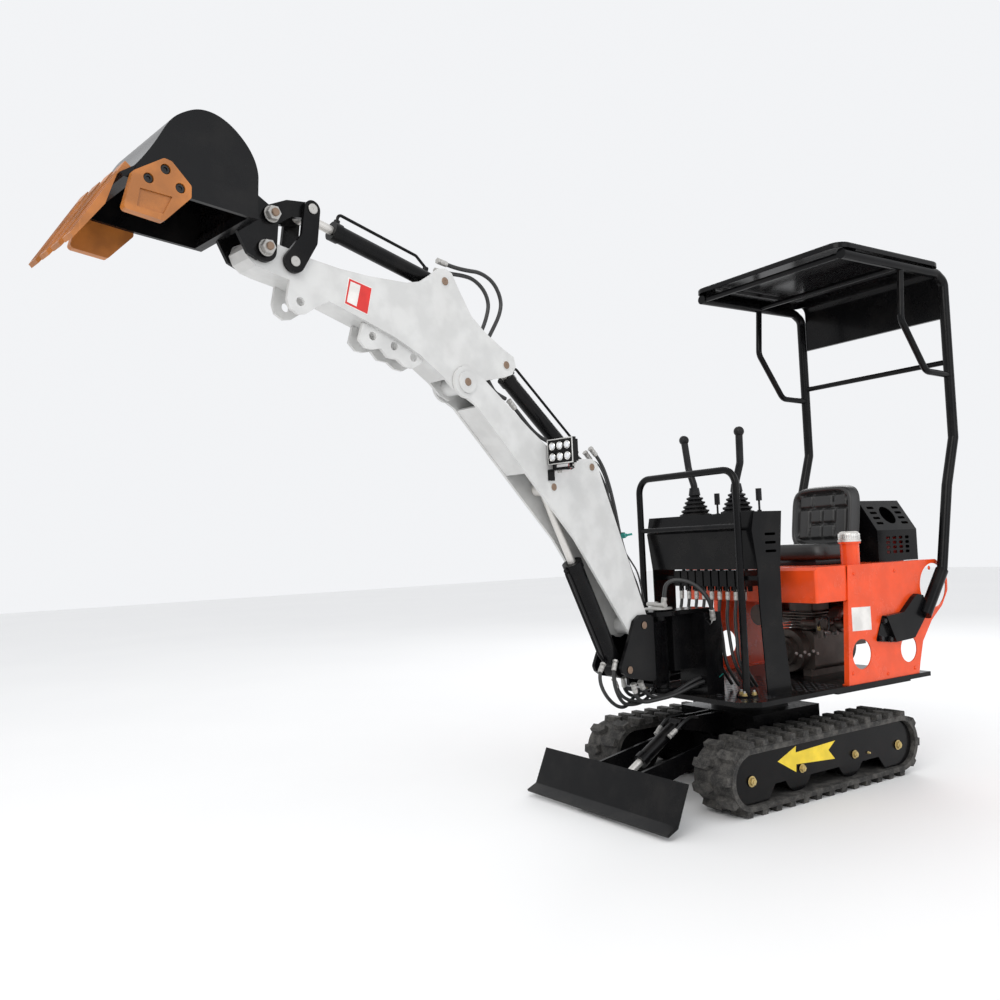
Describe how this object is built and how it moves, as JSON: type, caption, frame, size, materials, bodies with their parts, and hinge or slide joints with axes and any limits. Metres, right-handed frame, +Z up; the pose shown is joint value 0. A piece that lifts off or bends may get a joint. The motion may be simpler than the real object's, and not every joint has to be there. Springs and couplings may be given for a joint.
{
  "type": "tracked mini excavator",
  "caption": "Tracked mini excavator with open platform, canopy, dozer blade, swinging boom, arm, linked bucket and rubber tracks; turns, swings, lifts, crowds and curls.",
  "frame": {"origin": "Middle of the footprint of the whole machine as it stands, on the ground under the lugs.", "axes": "+X forward, +Y to the left of the machine, +Z up."},
  "size_m": [3.5802, 0.9342, 2.112],
  "materials": {
    "white_paint": "gloss",
    "black_paint": "gloss",
    "black_bucket_paint": "gloss",
    "orange_paint": "gloss",
    "ochre_cast": "satin",
    "chrome_rod": "polished",
    "track_rubber": "worn matte",
    "seat_vinyl": "satin",
    "black_rubber": "satin",
    "engine_metal": "satin"
  },
  "bodies": {
    "undercarriage": {"track_left": "track_rubber", "track_right": "track_rubber", "track_frame_left": "black_paint", "track_frame_right": "black_paint", "track_wheels_left": "black_paint", "track_wheels_right": "black_paint", "carbody": "black_paint"},
    "blade": {"blade": "black_paint"},
    "blade_barrel": {"blade_barrel": "black_paint"},
    "blade_rod": {"blade_rod": "chrome_rod"},
    "swing_barrel": {"swing_barrel": "black_paint"},
    "swing_rod": {"swing_rod": "chrome_rod"},
    "swing_bracket": {"swing_bracket": "black_paint"},
    "boom": {"boom": "white_paint", "work_light": "black_paint"},
    "lift_barrel": {"lift_barrel": "black_paint"},
    "lift_rod": {"lift_rod": "chrome_rod"},
    "arm": {"arm": "white_paint"},
    "crowd_barrel": {"crowd_barrel": "black_paint"},
    "crowd_rod": {"crowd_rod": "chrome_rod"},
    "curl_barrel": {"curl_barrel": "black_paint"},
    "curl_rod": {"curl_rod": "chrome_rod"},
    "rocker": {"rocker": "black_bucket_paint"},
    "bucket_link": {"bucket_link": "black_bucket_paint"},
    "bucket": {"bucket": "black_bucket_paint", "bucket_teeth": "ochre_cast", "side_cutters": "ochre_cast"},
    "upper_works": {"deck": "black_paint", "king_post": "black_paint", "panel_left": "orange_paint", "panel_right": "orange_paint", "tank": "orange_paint", "tank_filler": "orange_paint", "tank_cap": "chrome_rod", "engine": "engine_metal", "engine_cover": "black_paint", "seat_base": "orange_paint", "seat": "seat_vinyl", "console": "black_paint", "joysticks": "black_rubber", "small_levers": "black_rubber", "guard_hoop": "black_paint", "canopy_frame": "black_paint", "canopy_roof": "black_paint", "canopy_bracket_left": "black_paint", "canopy_bracket_right": "black_paint"}
  },
  "joints": [
    {"name": "slew", "type": "hinge", "parent": "undercarriage", "child": "upper_works", "pos_m": [-0.82907, -0.06463, 0.322], "axis": [0, 0, 1], "continuous": true},
    {"name": "blade_lift", "type": "hinge", "parent": "undercarriage", "child": "blade", "pos_m": [-0.49907, -0.06463, 0.19], "axis": [0, -1, 0], "range_deg": [-12, 25]},
    {"name": "blade_barrel_turn", "type": "hinge", "parent": "undercarriage", "child": "blade_barrel", "pos_m": [-0.43307, -0.06463, 0.268], "axis": [0, -1, 0], "range_deg": [-13.05, 27.18]},
    {"name": "blade_rod_slide", "type": "slide", "parent": "blade_barrel", "child": "blade_rod", "axis": [0.8654, 0, -0.501], "range_m": [-0.04154, 0.01994]},
    {"name": "boom_swing", "type": "hinge", "parent": "upper_works", "child": "swing_bracket", "pos_m": [-0.36107, -0.06463, 0.44], "axis": [0, 0, 1], "range_deg": [-60, 40]},
    {"name": "swing_barrel_turn", "type": "hinge", "parent": "upper_works", "child": "swing_barrel", "pos_m": [-0.80907, -0.29963, 0.44], "axis": [0, 0, 1], "range_deg": [-2.9, 4.35]},
    {"name": "swing_rod_slide", "type": "slide", "parent": "swing_barrel", "child": "swing_rod", "axis": [0.9644, 0.2643, 0], "range_m": [-0.08941, 0.05961]},
    {"name": "boom_lift", "type": "hinge", "parent": "swing_bracket", "child": "boom", "pos_m": [-0.18873, -0.03424, 0.66], "axis": [0.1736, -0.9848, 0], "range_deg": [-75, 25]},
    {"name": "lift_barrel_turn", "type": "hinge", "parent": "swing_bracket", "child": "lift_barrel", "pos_m": [-0.09813, -0.01827, 0.511], "axis": [0.1736, -0.9848, 0], "range_deg": [-72.94, 24.32]},
    {"name": "lift_rod_slide", "type": "slide", "parent": "lift_barrel", "child": "lift_rod", "axis": [0.4545, 0.0801, 0.8871], "range_m": [-0.20474, 0.06825]},
    {"name": "arm_crowd", "type": "hinge", "parent": "boom", "child": "arm", "pos_m": [0.59025, 0.10311, 1.471], "axis": [-0.1736, 0.9848, 0], "range_deg": [0, 99]},
    {"name": "crowd_barrel_turn", "type": "hinge", "parent": "boom", "child": "crowd_barrel", "pos_m": [0.03777, 0.0057, 1.225], "axis": [-0.1736, 0.9848, 0], "range_deg": [0, 5.07]},
    {"name": "crowd_rod_slide", "type": "slide", "parent": "crowd_barrel", "child": "crowd_rod", "axis": [0.7547, 0.1331, 0.6425], "range_m": [0, 0.2967]},
    {"name": "bucket_curl", "type": "hinge", "parent": "arm", "child": "bucket", "pos_m": [1.26189, 0.22154, 1.756], "axis": [0.1736, -0.9848, 0], "range_deg": [-105, 15]},
    {"name": "rocker_turn", "type": "hinge", "parent": "arm", "child": "rocker", "pos_m": [1.17523, 0.20626, 1.738], "axis": [0.1736, -0.9848, 0], "range_deg": [-63.31, 9.04]},
    {"name": "link_turn", "type": "hinge", "parent": "rocker", "child": "bucket_link", "pos_m": [1.11712, 0.19601, 1.892], "axis": [0.1736, -0.9848, 0], "range_deg": [-4.15, 29.05]},
    {"name": "curl_barrel_turn", "type": "hinge", "parent": "arm", "child": "curl_barrel", "pos_m": [0.65426, 0.1144, 1.776], "axis": [0.1736, -0.9848, 0], "range_deg": [-5.24, 0.75]},
    {"name": "curl_rod_slide", "type": "slide", "parent": "curl_barrel", "child": "curl_rod", "axis": [0.9561, 0.1686, 0.2396], "range_m": [-0.02388, 0.16716]}
  ],
  "couplings": [
    {"joint": "blade_barrel_turn", "follows": "blade_lift", "ratio": 1.0868},
    {"joint": "blade_rod_slide", "follows": "blade_lift", "m_per_rad": -0.09516},
    {"joint": "swing_barrel_turn", "follows": "boom_swing", "ratio": -0.0725},
    {"joint": "swing_rod_slide", "follows": "boom_swing", "m_per_rad": 0.08534},
    {"joint": "lift_barrel_turn", "follows": "boom_lift", "ratio": 0.9721},
    {"joint": "lift_rod_slide", "follows": "boom_lift", "m_per_rad": 0.15633},
    {"joint": "crowd_barrel_turn", "follows": "arm_crowd", "ratio": 0.0512},
    {"joint": "crowd_rod_slide", "follows": "arm_crowd", "m_per_rad": 0.17163},
    {"joint": "rocker_turn", "follows": "bucket_curl", "ratio": 0.6027},
    {"joint": "link_turn", "follows": "bucket_curl", "ratio": -0.2765},
    {"joint": "curl_barrel_turn", "follows": "bucket_curl", "ratio": 0.0499},
    {"joint": "curl_rod_slide", "follows": "bucket_curl", "m_per_rad": -0.09117}
  ]
}
